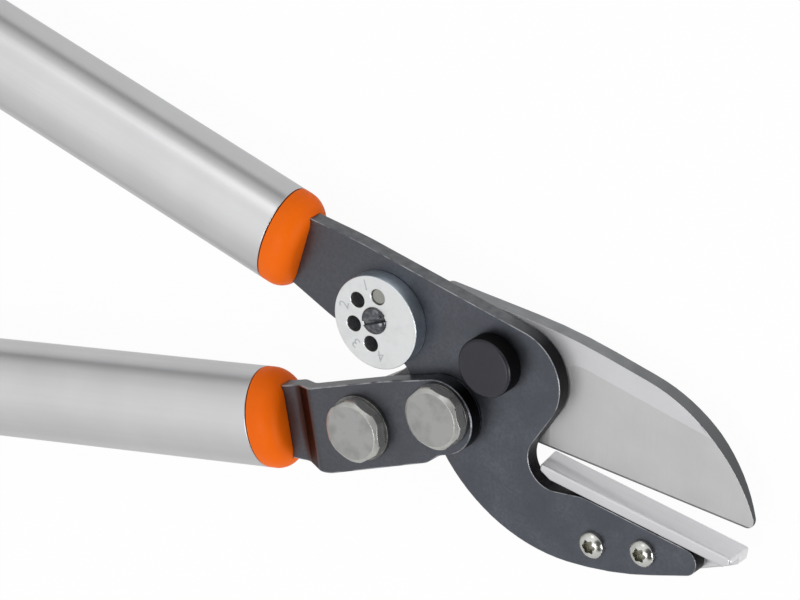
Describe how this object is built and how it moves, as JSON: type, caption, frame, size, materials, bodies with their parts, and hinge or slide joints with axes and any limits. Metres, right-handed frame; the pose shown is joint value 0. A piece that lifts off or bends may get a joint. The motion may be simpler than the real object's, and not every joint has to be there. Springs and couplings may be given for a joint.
{
  "type": "anvil lopper",
  "caption": "Long handled anvil lopper: a curved blade closes on a flat anvil in a hook plate, driven by a bolted lever with a stop disc, on oval aluminium handles.",
  "frame": {"origin": "on the main pivot's axis, in the plane that the lopper rests on, at the pivot bolt's end", "axes": "+X along the cutting edge towards the tip, +Y from the anvil towards the blade's spine, +Z out of the front face"},
  "size_m": [0.8008, 0.4022, 0.03],
  "materials": {
    "plate_steel": "dark phosphate, satin, bright at worn edges",
    "blade_steel": "fine ground, satin bevel",
    "collar_orange": "moulded, satin",
    "tube_aluminium": "drawn and anodised, satin",
    "grip_rubber": "ribbed, matt",
    "anvil_aluminium": "extruded, die lines along it",
    "zinc_screw": "zinc plated",
    "disc_zinc": "pale zinc, satin",
    "dark_screw": "blackened steel",
    "pin_steel": "plain ground steel",
    "cap_black": "moulded, satin",
    "bolt_steel": "satin zinc, bright rim",
    "washer_steel": "dull zinc",
    "bush_bronze": "sintered bronze"
  },
  "bodies": {
    "root": {"hook_plate": "plate_steel", "upper_collar": "collar_orange", "upper_tube": "tube_aluminium", "upper_grip": "grip_rubber", "upper_cap": "collar_orange", "upper_tang_pins": "pin_steel", "anvil": "anvil_aluminium", "anvil_screws": "zinc_screw", "stop_disc": "disc_zinc", "stop_screw": "dark_screw", "stop_pin": "pin_steel", "pivot_bolt": "bolt_steel", "pivot_cap": "cap_black", "pivot_washer": "washer_steel", "pivot_nut": "bolt_steel", "fulcrum_bolt": "bolt_steel", "fulcrum_washer": "washer_steel"},
    "lever": {"lever_plate": "plate_steel", "lower_collar": "collar_orange", "lower_tube": "tube_aluminium", "lower_grip": "grip_rubber", "lower_cap": "collar_orange", "lower_tang_pins": "pin_steel", "lever_bush": "bush_bronze", "lever_shim": "washer_steel", "drive_bolt": "bolt_steel", "drive_washer": "washer_steel", "drive_spacer": "pin_steel", "drive_roller": "pin_steel", "drive_rear_washer": "washer_steel", "drive_nut": "bolt_steel"},
    "blade": {"blade": "blade_steel", "blade_bush": "bush_bronze", "blade_shim": "washer_steel"}
  },
  "joints": [
    {"name": "lever_pivot", "type": "hinge", "parent": "root", "child": "lever", "pos_m": [-0.0136, -0.0206, 0.015], "axis": [0, 0, 1], "range_deg": [-8.1, 70]},
    {"name": "blade_pivot", "type": "hinge", "parent": "root", "child": "blade", "pos_m": [0, 0, 0.0097], "axis": [0, 0, 1], "range_deg": [-4.6, 39.7]}
  ],
  "couplings": [
    {"joint": "blade_pivot", "follows": "lever_pivot", "ratio": 0.567}
  ]
}
